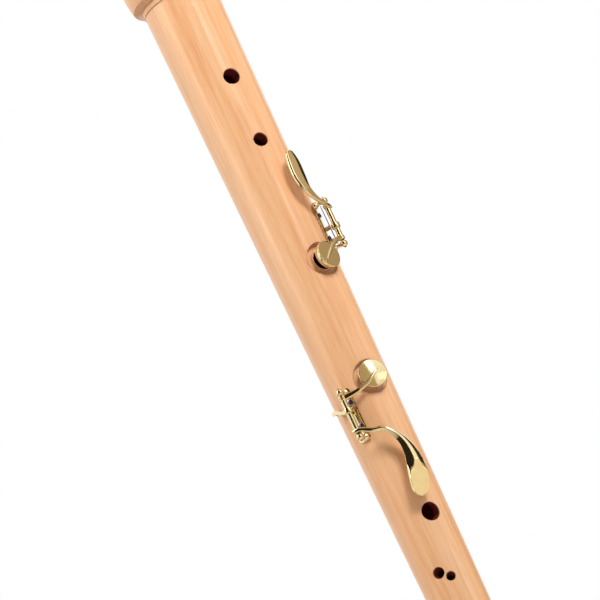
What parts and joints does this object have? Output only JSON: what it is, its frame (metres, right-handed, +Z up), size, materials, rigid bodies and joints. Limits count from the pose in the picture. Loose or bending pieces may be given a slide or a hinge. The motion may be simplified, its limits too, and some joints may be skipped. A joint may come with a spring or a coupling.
{
  "type": "bass recorder",
  "caption": "Bass recorder in turned light fruitwood: head, middle and foot joints, cap with a curved crook, and gold-plated keys over the far tone holes.",
  "frame": {"origin": "centre of the bore at the flat end of the foot joint, where a stand's peg goes in", "axes": "+Z up the bore towards the head, -Y the side of the finger holes and the window, +X the right of someone who looks at the finger holes"},
  "size_m": [0.0544, 0.1395, 1.0978],
  "materials": {
    "fruit_wood": "light pear or maple, oiled and polished, fine straight grain",
    "cedar": "plain cedar",
    "gold_plate": "polished gold plate",
    "crook_brass": "polished and lacquered",
    "blued_steel": "polished and blued",
    "cork": "natural cork",
    "pad_leather": "tan pad leather over felt"
  },
  "bodies": {
    "foot": {"foot_joint": "fruit_wood", "key_7_saddle": "gold_plate", "key_7_hinge_rod": "blued_steel", "key_7_spring": "blued_steel", "key_7_bumper_cork": "cork", "key_7_saddle_screw_1": "blued_steel", "key_7_saddle_screw_2": "blued_steel"},
    "middle": {"middle_joint": "fruit_wood", "lower_tenon_cork": "cork", "upper_tenon_cork": "cork", "key_3_saddle": "gold_plate", "key_3_hinge_rod": "blued_steel", "key_3_spring": "blued_steel", "key_3_bumper_cork": "cork", "key_3_saddle_screw_1": "blued_steel", "key_3_saddle_screw_2": "blued_steel", "key_4_saddle": "gold_plate", "key_4_hinge_rod": "blued_steel", "key_4_spring": "blued_steel", "key_4_bumper_cork": "cork", "key_4_saddle_screw_1": "blued_steel", "key_4_saddle_screw_2": "blued_steel", "thumb_rest": "gold_plate", "thumb_rest_screw_1": "gold_plate", "thumb_rest_screw_2": "gold_plate", "strap_ring_plate": "gold_plate", "strap_ring_screw_1": "gold_plate", "strap_ring_screw_2": "gold_plate"},
    "head": {"head_joint": "fruit_wood", "windway_block": "cedar", "cap_tenon_cork": "cork"},
    "cap": {"head_cap": "fruit_wood", "crook_bush": "crook_brass"},
    "crook": {"crook_tube": "crook_brass", "crook_cork": "cork", "crook_collar": "crook_brass"},
    "strap_ring": {"strap_ring": "gold_plate"},
    "key_3": {"key_3_lever": "gold_plate", "key_3_pad_cup": "gold_plate", "key_3_pad": "pad_leather", "key_3_tail_cork": "cork"},
    "key_4": {"key_4_lever": "gold_plate", "key_4_pad_cup": "gold_plate", "key_4_pad": "pad_leather", "key_4_tail_cork": "cork"},
    "key_7": {"key_7_lever": "gold_plate", "key_7_pad_cup": "gold_plate", "key_7_pad": "pad_leather", "key_7_tail_cork": "cork"}
  },
  "joints": [
    {"name": "middle_turn", "type": "hinge", "parent": "foot", "child": "middle", "pos_m": [0, 0, 0.215], "axis": [0, 0, 1], "range_deg": [-30, 30]},
    {"name": "head_tuning_slide", "type": "slide", "parent": "middle", "child": "head", "axis": [0, 0, 1], "range_m": [0, 0.008]},
    {"name": "cap_slide", "type": "slide", "parent": "head", "child": "cap", "axis": [0, 0, 1], "range_m": [0, 0.026]},
    {"name": "crook_turn", "type": "hinge", "parent": "cap", "child": "crook", "pos_m": [0, 0, 1.03], "axis": [0, 0, 1], "continuous": true},
    {"name": "strap_ring_swing", "type": "hinge", "parent": "middle", "child": "strap_ring", "pos_m": [0.00592, 0.02207, 0.415], "axis": [0.9659, -0.2588, 0], "range_deg": [0, 160]},
    {"name": "key_3_hinge", "type": "hinge", "parent": "middle", "child": "key_3", "pos_m": [0.01974, -0.01599, 0.457], "axis": [0, 0, -1], "range_deg": [0, 10.5], "stiffness_Nm_per_rad": 0.06, "springref_deg": -14.32},
    {"name": "key_4_hinge", "type": "hinge", "parent": "middle", "child": "key_4", "pos_m": [-0.01852, -0.015, 0.3555], "axis": [0, 0, 1], "range_deg": [0, 10.5], "stiffness_Nm_per_rad": 0.06, "springref_deg": -14.32},
    {"name": "key_7_hinge", "type": "hinge", "parent": "foot", "child": "key_7", "pos_m": [-0.01842, -0.01491, 0.16], "axis": [0, 0, 1], "range_deg": [0, 10.5], "stiffness_Nm_per_rad": 0.06, "springref_deg": -14.32}
  ]
}
